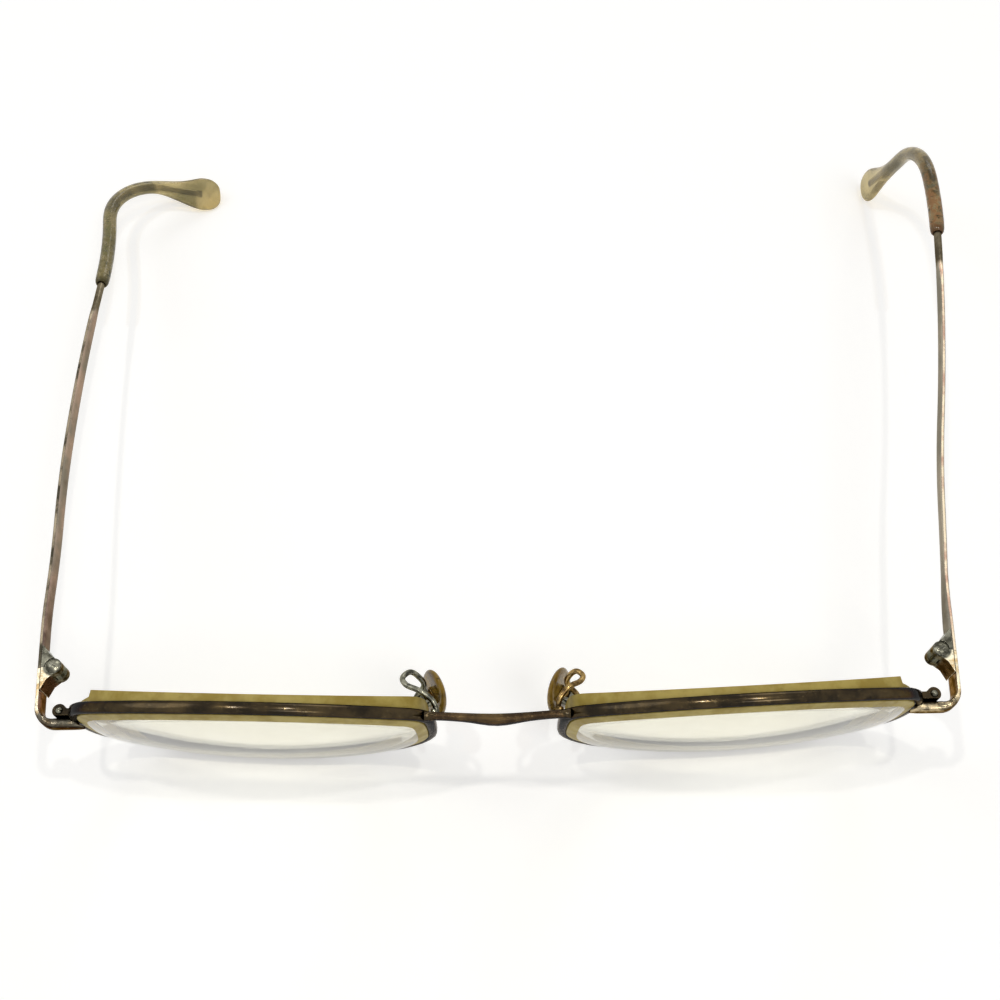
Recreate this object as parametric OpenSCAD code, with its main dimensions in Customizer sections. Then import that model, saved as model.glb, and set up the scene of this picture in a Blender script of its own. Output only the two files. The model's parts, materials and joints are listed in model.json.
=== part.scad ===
// Metal rimmed spectacles with folding temples, looped pad arms and rocking nose pads.
// The front faces -Y and the temples run back along +Y. The lower rims and the ends of the
// ear tips stand on the plane Z = 0. Left and right are as seen from the front, so the left
// side is at -X. The frame is an old one: its front is even, but each temple is bent its own way.

/* [Lenses] */
// Lens width at the bevel, the eye size
eye_size = 52; // [49:0.5:55]
// Lens height at the bevel
lens_height = 38.4; // [36:0.2:41]
// Distance between the lenses at the bevel
bridge_size = 20; // [17:0.5:23]
// Lean of the lens plane, the lower edge nearer the face
lens_tilt = 6.7; // [2:0.1:10]
// Turn of each lens back towards its outer end
lens_wrap = 1.9; // [0:0.1:5]
// Radius of the rim and of the bevel along the lens
base_curve = 130; // [100:1:180]
// Radius of the hollow back surface of the lens
back_curve = 85; // [75:1:110]
// Lens thickness in its middle
centre_thickness = 2.5; // [2:0.1:3.2]
// Width ground off the back of the lens at the temple side, where the temple folds past
temple_relief = 3.4; // [2:0.1:4]
// How far the lens front stands before the middle of its rim
lens_ledge = 1.1; // [0.95:0.05:1.4]
// Radius of the upper edge of the lens outline
top_radius = 37; // [32:0.5:50]
// Radius of the lower edge of the lens outline
bottom_radius = 100; // [60:1:150]
// Radius of the two upright edges of the lens outline
side_radius = 70; // [50:1:120]
// Corner radius at the top, on the temple side
top_outer_corner = 9; // [6:0.5:11]
// Corner radius at the top, on the nose side
top_inner_corner = 7; // [6:0.5:10]
// Corner radius at the bottom, on the temple side
bottom_outer_corner = 11; // [8:0.5:14]
// Corner radius at the bottom, on the nose side
bottom_inner_corner = 17; // [10:0.5:18]

/* [Rims] */
// Rim wire from front to back
rim_depth = 1.7; // [1.4:0.05:2.2]
// Metal of the rim outside the bevel
rim_outside = 0.9; // [0.7:0.05:1.3]
// Lip of the rim over the lens
rim_lip = 0.38; // [0.3:0.02:0.5]
// Width of the groove at its mouth
groove_width = 0.8; // [0.6:0.05:1]
// Saw cut between the two halves of the rim lock
rim_cut = 0.12; // [0.06:0.02:0.3]

/* [Bridge] */
// Height of the bridge bar's ends above the lens centres
bridge_rise = 9.3; // [6:0.1:11]
// Bridge bar from front to back
bridge_thickness = 1.1; // [0.9:0.05:1.5]
// Bridge bar from top to bottom
bridge_height = 1.6; // [1.3:0.05:2.4]
// Distance of the bar's ends before the middle of the rims
bridge_setting = 0.4; // [0:0.05:0.6]
// Bow of the bar's middle forwards
bridge_bow = 0.6; // [0:0.1:2]
// Dip of the bar's middle
bridge_dip = 0.4; // [0:0.1:1.5]
// Share by which the bar is stouter in its middle
bridge_swell = 0.45; // [0:0.05:0.6]

/* [Rim locks] */
// Radius of the lock barrel
lock_radius = 1; // [0.9:0.05:1.3]
// Height of the closed lock
lock_height = 4; // [3.4:0.1:5]
// Neck of the lock between the rim and its barrel
lock_neck = 0.6; // [0.3:0.05:1.2]
// Distance of the barrel behind the middle of the rim
lock_setback = 0.3; // [0:0.05:0.6]
// Radius of the lock screw's shank
lock_screw_radius = 0.5; // [0.4:0.02:0.6]
// Radius of the lock screw's head
lock_head_radius = 0.85; // [0.75:0.05:1]

/* [End pieces] */
// Height of the left hinge's middle above the lens centres
left_hinge_rise = 3.9; // [1:0.1:6]
// Height of the right hinge's middle above the lens centres
right_hinge_rise = 5.4; // [1:0.1:6]
// Thickness of the end piece strip
strip_thickness = 0.75; // [0.6:0.05:1]
// Height of the strip at the hinge
strip_height = 3.6; // [3:0.1:4.4]
// Height of the strip's tongue on the rim
tongue_height = 2.2; // [1.8:0.1:3]
// Thickness of the tongue before the rim lock
tongue_thickness = 1.5; // [1:0.05:1.8]
// Radius of the corner, at the middle of the strip
corner_radius = 2.6; // [1.8:0.1:3.2]
// Reach of the tongue inwards over the rim
tongue_reach = 1.8; // [1.3:0.1:2.6]
// Distance of the hinge pin behind the tongue
hinge_setback = 8.7; // [7.6:0.1:10]
// Distance of the left hinge pin outside the rim
left_hinge_reach = 3.4; // [2.8:0.1:4.2]
// Distance of the right hinge pin outside the rim
right_hinge_reach = 3.8; // [2.8:0.1:4.2]
// Outward splay of the strip and of the temple's first stretch
splay = 4.5; // [0:0.5:8]

/* [Hinges] */
// Radius of the hinge knuckles
knuckle_radius = 1.2; // [1.05:0.05:1.4]
// Height of the whole knuckle stack
hinge_height = 4.2; // [3.6:0.1:5]
// Distance from the hinge pin to the strip's inner face
hinge_offset = 1.8; // [1.6:0.05:2.2]
// Length of the leaf on the end piece
front_leaf_length = 3.5; // [3:0.1:4.4]
// Length of the leaf on the temple
temple_leaf_length = 3.6; // [3:0.1:5]
// Radius of the hinge screw's shank
hinge_screw_radius = 0.6; // [0.5:0.02:0.7]
// Radius of the hinge screw's domed head
hinge_head_radius = 1.1; // [0.95:0.05:1.2]
// Height of the hinge screw's domed head
hinge_head_height = 0.45; // [0.3:0.05:0.7]

/* [Temples] */
// Length from the hinge to the ear tip's mouth
temple_length = 79; // [70:0.5:90]
// Height of the flat temple bar at the hinge
bar_height = 3.5; // [2.5:0.1:3.8]
// Height of the flat temple bar at its far end
bar_end_height = 3; // [2.2:0.1:3.4]
// Thickness of the flat temple bar
bar_thickness = 0.75; // [0.6:0.05:1]
// Bare round wire between the bar and the ear tip
neck_length = 5; // [3:0.5:10]
// Diameter of the round wire
wire_diameter = 1.3; // [1.1:0.05:1.5]

/* [Ear tips] */
// Length of the ear tip along its curve
tip_length = 47.5; // [42:0.5:54]
// Diameter of the ear tip's round part
tip_diameter = 2.6; // [2.3:0.05:3.2]
// Width of the flat end of the ear tip
paddle_width = 6.8; // [5:0.1:8.5]
// Thickness of the flat end of the ear tip
paddle_thickness = 1.9; // [1.5:0.05:2.4]
// Length of the flat end of the ear tip
paddle_length = 13; // [10:0.5:16]

/* [Nose pads] */
// Height of a nose pad
pad_height = 12.5; // [11:0.5:15]
// Width of a nose pad
pad_width = 6.8; // [6:0.2:8]
// Thickness of a nose pad at its crown
pad_thickness = 1.3; // [1.1:0.05:1.6]
// Distance of each pad's middle inside its lens's edge
pad_inset = 1.1; // [0:0.1:2.5]
// Distance of the pads' middles behind the lens centres
pad_setback = 7.2; // [6.4:0.1:9]
// Drop of the pads' middles below the lens centres
pad_drop = 0.8; // [0:0.1:3]
// Turn of the pads, their front edges nearer the nose
pad_turn = 27; // [15:1:35]
// Lean of the pads, their tops nearer the nose
pad_lean = 10; // [0:1:15]
// Diameter of the pad arm wire
arm_diameter = 0.92; // [0.7:0.02:1]
// Outward bend of the left arm's loop
left_loop_shift = 0.9; // [-0.5:0.1:1]
// Outward bend of the right arm's loop
right_loop_shift = 0; // [-0.5:0.1:1]
// Size of the left arm's loop against a middling one
left_loop_size = 1; // [0.75:0.05:1.1]
// Size of the right arm's loop against a middling one
right_loop_size = 0.8; // [0.75:0.05:1.1]
// Radius of the pad screw's shank
pad_screw_radius = 0.35; // [0.3:0.01:0.4]

/* [Fits] */
// Gap where one piece is seated against another
seat_gap = 0.03; // [0.02:0.01:0.06]
// Gap round the lens in its rim
glazing_gap = 0.07; // [0.04:0.01:0.1]
// Gap round a screw in its hole
screw_gap = 0.04; // [0.02:0.01:0.08]
// Gap between hinge knuckles
knuckle_gap = 0.06; // [0.04:0.01:0.12]

/* [Hidden] */

LEFT = -1;
RIGHT = 1;
metal = [0.36, 0.30, 0.22];
rose_metal = [0.62, 0.50, 0.42];
gold_metal = [0.66, 0.52, 0.30];
nickel = [0.55, 0.56, 0.50];
amber = [0.72, 0.62, 0.34, 0.85];
celluloid = [0.62, 0.58, 0.36, 0.85];
clear_glass = [0.86, 0.87, 0.80, 0.45];

// The bends of a temple and its ear tip, from the hinge back. Each run is its length, its turn
// inwards, its turn downwards and its twist, all in degrees. The temple runs end at the mouth
// of the ear tip, and the long one takes what the length leaves over.
left_temple_runs = [[5, 0, 0, 0], [8, 2.7, 4, 2], [12, -2.8, -1.2, -2], [16, 1.4, 5.1, 0]];
left_temple_bow = [3.1, 3, 2.6];
left_tip_runs = [[0.8, 0, 0, 0], [18, -10.7, -0.8, -20], [18.3, 95.2, 18.3, -26], [8.6, -13, -6.2, -8],
    [1.2, 0, 0, 0], [0.6, 0, 0, 0]];
right_temple_runs = [[5, 0, 0, 0], [8, -3.7, -1.3, 9.5], [12, 0.3, 1.4, -1.8], [16, -3.3, -1.9, -2.8]];
right_temple_bow = [5, -0.5, -0.4];
right_tip_runs = [[0.8, 0, 0, 0], [12, 5.3, 3.9, 0], [16.5, 7.7, 67.6, -8], [16.4, 17.4, -4, -16],
    [1.2, 0, 0, 0], [0.6, 0, 0, 0]];
bend_step = 2.4;
arc_step = 2.6;
arc_turn = 12;
section_points = 12;
front_reach = 6;
back_reach = 12;

// The lens outline: four long arcs joined by four corner arcs, seen from the front with the
// temple side to the right. Each arc is its centre, its radius and its two end angles.
half_eye = eye_size / 2;
half_height = lens_height / 2;
lens_x = half_eye + bridge_size / 2;
crown_shift = 0.5;
sole_shift = 4;
side_middle = -2;
nose_side_middle = 1;
top_centre = [crown_shift, half_height - top_radius];
bottom_centre = [sole_shift, bottom_radius - half_height];
outer_centre = [half_eye - side_radius, side_middle];
inner_centre = [side_radius - half_eye, nose_side_middle];
outline_arcs = lens_arcs();

// Places that several pieces share, on the right side
rim_front = -rim_depth / 2;
strip_x = hinge_offset + strip_thickness / 2;
bar_x = hinge_offset + bar_thickness / 2;
lock_flat = lock_radius * 0.7;
knuckle_height = (hinge_height - 2 * knuckle_gap) / 3;
leaf_waist = knuckle_radius - 0.2;
butt_gap = 0.06;
core_inset = 3.5;
pad_gap = bridge_size - 2 * pad_inset;
pad_spot = [pad_gap / 2 + pad_thickness / 2, pad_setback, -pad_drop];
pad_back = pad_thickness * 0.4;
insert_width = 1.1;
ear_thickness = 0.4;
box_height = 1.9;
pad_wall = 0.3;
slot_width = 0.25;
pad_pivot = 1.25;
box_end = 2.26;
foot_z = 7.3;
foot_side = rim_side(-1, foot_z);
table = place(0, sag(0, half_height), -half_height)[2] - rim_outside * cos(lens_tilt);
left_points = temple_walk(LEFT);
right_points = temple_walk(RIGHT);
reach_left = max([for (s = left_points) s[0][0]]) + bar_thickness / 2;
reach_right = max([for (s = right_points) s[0][0]]) + tip_diameter / 2;
reach_back = max([for (s = concat(left_points, right_points)) s[0][1]]);
reach_front = place(0, sag(half_height, 0), half_height)[1] + rim_front;
middle = [(reach_right - reach_left) / 2, (reach_back + reach_front) / 2, table];

// Points along an outline or a route
function turned(a) = [cos(a), sin(a)];
function unit(v) = v / norm(v);
function sag(x, z) = base_curve - sqrt(base_curve * base_curve - x * x - z * z);
function nearer(p, q, way) = p * way > q * way ? p : q;
function meet(c1, r1, c2, r2, way) =
    let (gap = norm(c2 - c1), u = (c2 - c1) / gap, along = (r1 * r1 - r2 * r2 + gap * gap) / (2 * gap),
        off = sqrt(r1 * r1 - along * along), side = [-u[1], u[0]])
    nearer(c1 + along * u + off * side, c1 + along * u - off * side, way);
function heading(v) = atan2(v[1], v[0]);
function after(a, b) = b < a ? b + 360 : b;
function corner(c1, r1, c2, r2, r, way) =
    let (c = meet(c1, r1 - r, c2, r2 - r, way), a = heading(c - c1)) [c, r, a, after(a, heading(c - c2))];
function lens_arcs() =
    let (upper = corner(outer_centre, side_radius, top_centre, top_radius, top_outer_corner, [1, 1]),
        bridge_top = corner(top_centre, top_radius, inner_centre, side_radius, top_inner_corner, [-1, 1]),
        bridge_low = corner(inner_centre, side_radius, bottom_centre, bottom_radius,
            bottom_inner_corner, [-1, -1]),
        lower = corner(bottom_centre, bottom_radius, outer_centre, side_radius,
            bottom_outer_corner, [1, -1]))
    [upper, [top_centre, top_radius, upper[3], bridge_top[2]], bridge_top,
        [inner_centre, side_radius, bridge_top[3], after(bridge_top[3], bridge_low[2])], bridge_low,
        [bottom_centre, bottom_radius, bridge_low[3], after(bridge_low[3], lower[2])], lower];
function arc_steps(arc) = let (turn = arc[3] - arc[2])
    max(3, ceil(arc[1] * turn * PI / 180 / arc_step), ceil(turn / arc_turn));
function along_arc(arc) = let (n = arc_steps(arc))
    [for (i = [0:n - 1]) [arc[0], arc[1], arc[2] + (arc[3] - arc[2]) * i / n]];
function cut_angle(rise) = asin((rise - side_middle) / side_radius);
function stations(side, gap) =
    let (first = outline_arcs[0], last = outline_arcs[6], start = cut_angle(rise(side) + gap / 2),
        end = cut_angle(rise(side) - gap / 2))
    concat(along_arc([outer_centre, side_radius, start, first[2]]),
        [for (arc = outline_arcs) each along_arc(arc)],
        along_arc([outer_centre, side_radius, last[3], end]),
        [[outer_centre, side_radius, end]]);
function outline(side, grow) = [for (s = stations(side, 0)) s[0] + (s[1] + grow) * turned(s[2])];

// From the lens's own frame to the front's frame, for the right lens
function place(x, y, z) =
    let (back = y * cos(lens_tilt) - z * sin(lens_tilt), up = y * sin(lens_tilt) + z * cos(lens_tilt))
    [lens_x + x * cos(lens_wrap) - back * sin(lens_wrap), x * sin(lens_wrap) + back * cos(lens_wrap), up];

// Places that depend on the side, for the right side or the mirrored left one
function rise(side) = side == LEFT ? left_hinge_rise : right_hinge_rise;
function rim_side(way, z) =
    let (r = side_radius + rim_outside, dz = z - (way > 0 ? side_middle : nose_side_middle),
        x = half_eye - side_radius + sqrt(r * r - dz * dz))
    place(way * x, sag(x, z), z);
function lock_spot(side) = let (edge = rim_side(1, rise(side)))
    [edge[0] + lock_neck + lock_radius, edge[1] + lock_setback];
function lock_face(side) = lock_spot(side)[1] - lock_flat;
function tongue_y(side) = lock_face(side) - seat_gap - tongue_thickness + strip_thickness / 2;
function reach(side) = side == LEFT ? left_hinge_reach : right_hinge_reach;
function hinge_spot(side) = [rim_side(1, rise(side))[0] + reach(side), tongue_y(side) + hinge_setback];

// Sections, and the frames that carry them along a route
function bulge(c, power) = sign(c) * pow(abs(c), 2 / power);
function section(w, h, power, n) =
    [for (i = [0:n - 1]) let (a = (i + 0.5) * 360 / n)
        [w / 2 * bulge(cos(a), power), h / 2 * bulge(sin(a), power)]];
function level(v, t) = unit(v - (v * t) * t);
function tangents(p) = let (last = len(p) - 1)
    [for (i = [0:last]) unit(p[min(i + 1, last)] - p[max(i - 1, 0)])];
function carried(t, first) =
    [for (i = 0, u = level(first, t[0]); i < len(t); i = i + 1, u = i < len(t) ? level(u, t[i]) : u) u];
function on_frame(p, u, v, shape) = [for (q = shape) p + q[0] * u + q[1] * v];
function bezier(a, b, c, d, s) =
    pow(1 - s, 3) * a + 3 * pow(1 - s, 2) * s * b + 3 * (1 - s) * s * s * c + s * s * s * d;
function smooth(p, n) = let (last = len(p) - 1)
    concat([for (i = [0:last - 1], k = [0:n - 1])
        let (a = p[max(i - 1, 0)], b = p[i], c = p[i + 1], d = p[min(i + 2, last)])
        bezier(b, b + (c - a) / 6, c - (d - b) / 6, c, k / n)], [p[last]]);
function mix(a, b, s) = a + (b - a) * s;

// A walk along bends. A step is its place, its inward turn, its downward turn and its twist.
function direction(step) =
    [-sin(step[1]) * cos(step[2]), cos(step[1]) * cos(step[2]), -sin(step[2])];
function outwards(step) = [cos(step[1]), sin(step[1]), 0];
function step_side(step) = let (u = outwards(step), v = cross(u, direction(step)))
    u * cos(step[3]) + v * sin(step[3]);
function step_up(step) = let (u = outwards(step), v = cross(u, direction(step)))
    v * cos(step[3]) - u * sin(step[3]);
function small_runs(runs) = [for (r = runs) let (n = max(1, round(r[0] / bend_step)))
    each [for (i = [1:n]) r / n]];
function stepped(s, r) = let (half = [s[0], s[1] + r[1] / 2, s[2] + r[2] / 2, s[3]])
    [s[0] + r[0] * direction(half), s[1] + r[1], s[2] + r[2], s[3] + r[3], s[4] + r[0]];
function walk(start, runs) =
    [for (i = 0, s = start; i <= len(runs); s = i < len(runs) ? stepped(s, runs[i]) : s, i = i + 1) s];
function total(runs) = len(runs) == 0 ? 0 : [for (r = runs) r[0]] * [for (r = runs) 1];
function side_runs(side) = side == LEFT ? left_temple_runs : right_temple_runs;
function bow_run(side) = let (bow = side == LEFT ? left_temple_bow : right_temple_bow)
    concat([temple_length - total(side_runs(side))], bow);
function tip_runs(side) =
    let (runs = side == LEFT ? left_tip_runs : right_tip_runs, k = tip_length / total(runs))
    [for (r = runs) [r[0] * k, r[1], r[2], r[3]]];
function temple_start(side) = let (pin = hinge_spot(side), out = bar_x, back = butt_gap / 2)
    [[pin[0] + out * cos(splay) + back * sin(splay), pin[1] - out * sin(splay) + back * cos(splay),
        rise(side)], -splay, 0, 0, 0];
function temple_walk(side) =
    walk(temple_start(side), small_runs(concat(side_runs(side), [bow_run(side)], tip_runs(side))));

// Solids made of rings of points, from the first ring to the last
module skin(rings, ends = []) {
    n = len(rings[0]);
    last = len(rings) - 1;
    sides = [for (j = [0:last - 1], i = [0:n - 1])
        let (a = j * n + i, b = j * n + (i + 1) % n) each [[a, b, b + n], [a, b + n, a + n]]];
    parts = len(ends) > 0 ? ends : [[for (i = [0:n - 1]) i]];
    caps = concat([for (p = parts) [for (i = [len(p) - 1:-1:0]) p[i]]],
        [for (p = parts) [for (i = p) last * n + i]]);
    polyhedron([for (r = rings) each r], concat(sides, caps), convexity = 8);
}

// The right side is drawn, and the left side is its mirror image
module on_side(side) {
    if (side == LEFT) mirror([1, 0, 0]) children();
    else children();
}

module stand() {
    translate(-middle) children();
}

module at_lens() {
    translate([lens_x, 0, 0]) rotate([0, 0, lens_wrap]) rotate([lens_tilt, 0, 0]) children();
}

module at_hinge(side) {
    pin = hinge_spot(side);
    translate([pin[0], pin[1], rise(side) - hinge_height / 2]) rotate([0, 0, -splay]) children();
}

module at_pad() {
    translate(pad_spot) rotate([0, 0, -pad_turn]) rotate([0, -pad_lean, 0]) children();
}

module rod(r, z0, z1, n = 48) {
    translate([0, 0, z0]) cylinder(r = r, h = z1 - z0, $fn = n);
}

// A screwdriver slot across a head whose face is at height z
module screw_slot(z, depth) {
    translate([0, 0, z]) cube([4 * hinge_head_radius, slot_width, 2 * depth], center = true);
}

module prism(side, grow, y0, y1) {
    translate([0, y1, 0]) rotate([90, 0, 0]) linear_extrude(y1 - y0) polygon(outline(side, grow));
}

module ball(y, r) {
    translate([0, y, 0]) sphere(r = r, $fn = 360);
}

// The rim's outline with its seat gap, cut from what is joined to the rim
module rim_space(side) {
    at_lens() prism(side, rim_outside + seat_gap, -front_reach, back_reach);
}

// Rims and lenses
module rim(side) {
    w = rim_depth / 2;
    top = rim_outside;
    mouth = groove_width / 2;
    floor_w = groove_width * 0.15;
    floor_d = glazing_gap;
    round_off = rim_outside / 4;
    profile = [[w - round_off / 3, -rim_lip], [w, -rim_lip + round_off / 2], [w, top - 2 * round_off],
        [w - round_off, top - round_off / 3], [w / 3, top], [-w / 3, top],
        [-w + round_off, top - round_off / 3], [-w, top - 2 * round_off], [-w, -rim_lip + round_off / 2],
        [-w + round_off / 3, -rim_lip], [-mouth, -rim_lip], [-floor_w, floor_d], [floor_w, floor_d],
        [mouth, -rim_lip]];
    lips = [[13, 0, 1, 2, 12], [12, 2, 3, 4, 5, 6, 7, 11], [11, 7, 8, 9, 10]];
    rings = [for (s = stations(side, rim_cut))
        let (e = turned(s[2]), p = s[0] + s[1] * e, y = sag(p[0], p[1]))
        [for (q = profile) [p[0] + q[1] * e[0], y + q[0], p[1] + q[1] * e[1]]]];
    color(metal) on_side(side) at_lens() skin(rings, lips);
}

module lens_ridge(side, grow, half_width) {
    difference() {
        intersection() {
            prism(side, grow, -front_reach, back_reach);
            ball(base_curve, base_curve + half_width);
        }
        ball(base_curve, base_curve - half_width);
    }
}

module lens(side) {
    back_middle = centre_thickness - lens_ledge + back_curve;
    ridge = groove_width / 4;
    edge = half_eye - rim_lip - glazing_gap;
    rim_back = sag(half_eye, 0) + rim_depth / 2;
    shelf = rim_back + temple_relief / 5;
    inner = edge - temple_relief;
    color(clear_glass) on_side(side) at_lens() difference() {
        union() {
            intersection() {
                prism(side, -rim_lip - glazing_gap, -front_reach, back_reach);
                ball(base_curve, base_curve + lens_ledge);
            }
            lens_ridge(side, -rim_lip / 2, ridge);
            lens_ridge(side, 0, ridge / 2);
        }
        ball(back_middle, back_curve);
        translate([0, 0, -lens_height]) linear_extrude(2 * lens_height)
            polygon([[edge, rim_back], [eye_size, rim_back], [eye_size, back_reach],
                [inner - temple_relief / 2, back_reach], [inner, shelf]]);
    }
}

// Bridge
module bridge() {
    seat = rim_side(-1, bridge_rise) - [0, bridge_setting, 0];
    ends = seat[0] + rim_outside;
    arch = bridge_dip / 4;
    half = [[ends, seat[1], bridge_rise], [ends * 0.77, seat[1] - bridge_bow / 6, bridge_rise + arch],
        [ends * 0.45, seat[1] - bridge_bow / 2, bridge_rise - arch / 2]];
    middle_point = [0, seat[1] - bridge_bow, bridge_rise - bridge_dip];
    points = smooth(concat([for (p = half) [-p[0], p[1], p[2]]], [middle_point],
        [for (i = [2:-1:0]) half[i]]), 4);
    t = tangents(points);
    rings = [for (i = [0:len(points) - 1])
        let (u = level([0, -1, 0], t[i]), v = cross(u, t[i]),
            swell = 1 + bridge_swell * exp(-pow(3 * points[i][0] / ends, 2)))
        on_frame(points[i], u, v,
            section(bridge_thickness * swell, bridge_height * swell, 3.2, section_points))];
    color(metal) difference() {
        skin(rings);
        for (side = [LEFT, RIGHT]) on_side(side) rim_space(side);
    }
}

// Rim locks
module lock_plan(side) {
    spot = lock_spot(side);
    face = lock_face(side);
    neck = lock_neck + 1.4 * lock_radius;
    intersection() {
        union() {
            translate(spot) circle(r = lock_radius, $fn = 48);
            translate([spot[0] - neck, face]) square([neck, lock_flat + lock_radius / 3]);
        }
        translate([spot[0] - neck, face]) square([2 * neck, 2 * lock_radius]);
    }
}

module lock_half(side, z0, z1) {
    spot = lock_spot(side);
    color(metal) on_side(side) difference() {
        translate([0, 0, z0]) linear_extrude(z1 - z0) lock_plan(side);
        translate(spot) rod(lock_screw_radius + screw_gap, z0 - 1, z1 + 1);
        rim_space(side);
    }
}

module upper_lock(side) {
    lock_half(side, rise(side) + rim_cut / 2, rise(side) + lock_height / 2);
}

module lower_lock(side) {
    lock_half(side, rise(side) - lock_height / 2, rise(side) - rim_cut / 2);
}

module lock_screw(side) {
    under = rise(side) - lock_height / 2 - seat_gap;
    top = rise(side) + lock_height / 2 + lock_screw_radius / 5;
    head = lock_screw_radius;
    color(nickel) on_side(side) translate(lock_spot(side)) difference() {
        union() {
            rod(lock_screw_radius, under, top);
            rod(lock_head_radius, under - head, under);
            translate([0, 0, top]) intersection() {
                sphere(r = lock_screw_radius, $fn = 40);
                rod(lock_screw_radius, 0, lock_screw_radius);
            }
        }
        screw_slot(under - head, head / 2);
    }
}

// End piece, a strip from the rim round the corner to the hinge
module end_piece(side) {
    s = splay;
    pin = hinge_spot(side);
    front = tongue_y(side);
    inner = rim_side(1, rise(side))[0] - tongue_reach;
    start = pin + [strip_x * cos(s) - butt_gap / 2 * sin(s), -strip_x * sin(s) - butt_gap / 2 * cos(s)];
    r = corner_radius;
    side_length = (start[1] - front - r * (1 - sin(s))) / cos(s);
    bend_start = start - side_length * [sin(s), cos(s)];
    bend_centre = bend_start + r * [-cos(s), sin(s)];
    turns = 9;
    bend = [for (i = [0:turns]) let (a = -s - (90 - s) * i / turns) bend_centre + r * turned(a)];
    bend_end = bend[turns];
    points = concat([for (i = [0:2]) mix(start, bend_start, i / 3)], bend,
        [for (i = [1:5]) [mix(bend_end[0], inner, i / 5), front]]);
    spaced = concat([0, 0, 0], [for (i = [0:turns]) i / turns], [1, 1, 1, 1, 1]);
    last = len(points) - 1;
    rings = [for (i = [0:last])
        let (before = points[max(i - 1, 0)], next = points[min(i + 1, last)],
            t = unit([next[0] - before[0], next[1] - before[1], 0]), u = cross(t, [0, 0, 1]),
            tip = i == last ? 0.4 : i == last - 1 ? 0.85 : 1,
            h = mix(strip_height, tongue_height, spaced[i]) * tip,
            d = mix(strip_thickness, tongue_thickness, spaced[i]) * (i == last ? 0.5 : 1))
        on_frame([points[i][0], points[i][1], rise(side)] + u * (d - strip_thickness) / 2, u, [0, 0, 1],
            section(d, h, 4, section_points))];
    color(gold_metal) on_side(side) difference() {
        skin(rings);
        intersection() {
            rim_space(side);
            at_lens() ball(base_curve, base_curve + rim_depth / 2 + 2 * seat_gap);
        }
        at_lens() intersection() {
            prism(side, 0, -front_reach, back_reach);
            ball(base_curve, base_curve + lens_ledge + 2 * seat_gap);
        }
    }
}

// Hinge leaves, drawn about the pin with the strip's inner face at hinge_offset
module leaf_plan(length, way, hollow) {
    face = hinge_offset - seat_gap;
    far = [face, way * length];
    near = [face, way * butt_gap / 2];
    shoulder = [face - hollow, way * length * 0.55];
    a = way * (abs(heading(shoulder)) + acos(leaf_waist / norm(shoulder)));
    polygon([near, far, shoulder, leaf_waist * turned(a), [0, 0]]);
}

module front_leaf(side) {
    low = knuckle_height;
    high = low + 2 * knuckle_gap + knuckle_height;
    color(gold_metal) on_side(side) at_hinge(side) difference() {
        union() {
            linear_extrude(hinge_height) leaf_plan(front_leaf_length, -1, 0.85);
            rod(knuckle_radius, 0, low);
            rod(knuckle_radius, high, hinge_height);
        }
        rod(knuckle_radius + 2 * knuckle_gap, low, high);
        rod(hinge_screw_radius + screw_gap, -1, hinge_height + 1);
    }
}

module temple_leaf(side) {
    low = knuckle_height + knuckle_gap;
    high = low + knuckle_height;
    color(nickel) on_side(side) at_hinge(side) difference() {
        union() {
            difference() {
                linear_extrude(hinge_height) leaf_plan(temple_leaf_length, 1, 1.15);
                rod(knuckle_radius + 2 * knuckle_gap, -1, low);
                rod(knuckle_radius + 2 * knuckle_gap, high, hinge_height + 1);
            }
            rod(knuckle_radius, low, high);
        }
        rod(hinge_screw_radius + screw_gap, -1, hinge_height + 1);
    }
}

module hinge_screw(side) {
    r = hinge_head_radius;
    h = hinge_head_height;
    dome = (r * r + h * h) / (2 * h);
    base = hinge_height + seat_gap;
    color(nickel) on_side(side) at_hinge(side) difference() {
        union() {
            rod(hinge_screw_radius, -hinge_screw_radius / 4, base + h / 2);
            intersection() {
                translate([0, 0, base + h - dome]) sphere(r = dome, $fn = 96);
                rod(r, base, base + h);
            }
        }
        rotate([0, 0, 35]) screw_slot(base + h, h / 2);
    }
}

// Temples, flat bars that end in a round wire inside the ear tip
function bar_section(s) =
    let (bar_end = temple_length - neck_length, w = wire_diameter, fade = bar_end - neck_length,
        h = lookup(s, [[0, bar_height], [fade, bar_end_height], [bar_end, w]]),
        t = lookup(s, [[0, bar_thickness], [fade, bar_thickness], [bar_end, w]]),
        power = lookup(s, [[0, 4], [fade, 4], [bar_end, 2]]))
    section(t, h, power, section_points);

module temple(side) {
    steps = side == LEFT ? left_points : right_points;
    core_end = temple_length + tip_length - core_inset;
    color(rose_metal) on_side(side)
        skin([for (s = steps) if (s[4] <= core_end)
            on_frame(s[0], step_side(s), step_up(s), bar_section(s[4]))]);
}

// Ear tips, sleeves over the wire with a flat end
function tip_section(s) =
    let (along = s - temple_length, flat = tip_length - paddle_length, wide = tip_length - 4,
        w = lookup(along, [[0, tip_diameter * 0.8], [0.8, tip_diameter], [flat, tip_diameter],
            [flat + paddle_length * 0.3, paddle_width * 0.55], [wide, paddle_width],
            [tip_length - 1.8, paddle_width * 0.94], [tip_length - 0.6, paddle_width * 0.7],
            [tip_length, paddle_width * 0.4]]),
        t = lookup(along, [[0, tip_diameter * 0.8], [0.8, tip_diameter], [flat, tip_diameter],
            [flat + paddle_length * 0.5, paddle_thickness], [tip_length - 0.6, paddle_thickness * 0.8],
            [tip_length, paddle_thickness * 0.5]]))
    section(t, w, 2.2, section_points);

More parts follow.
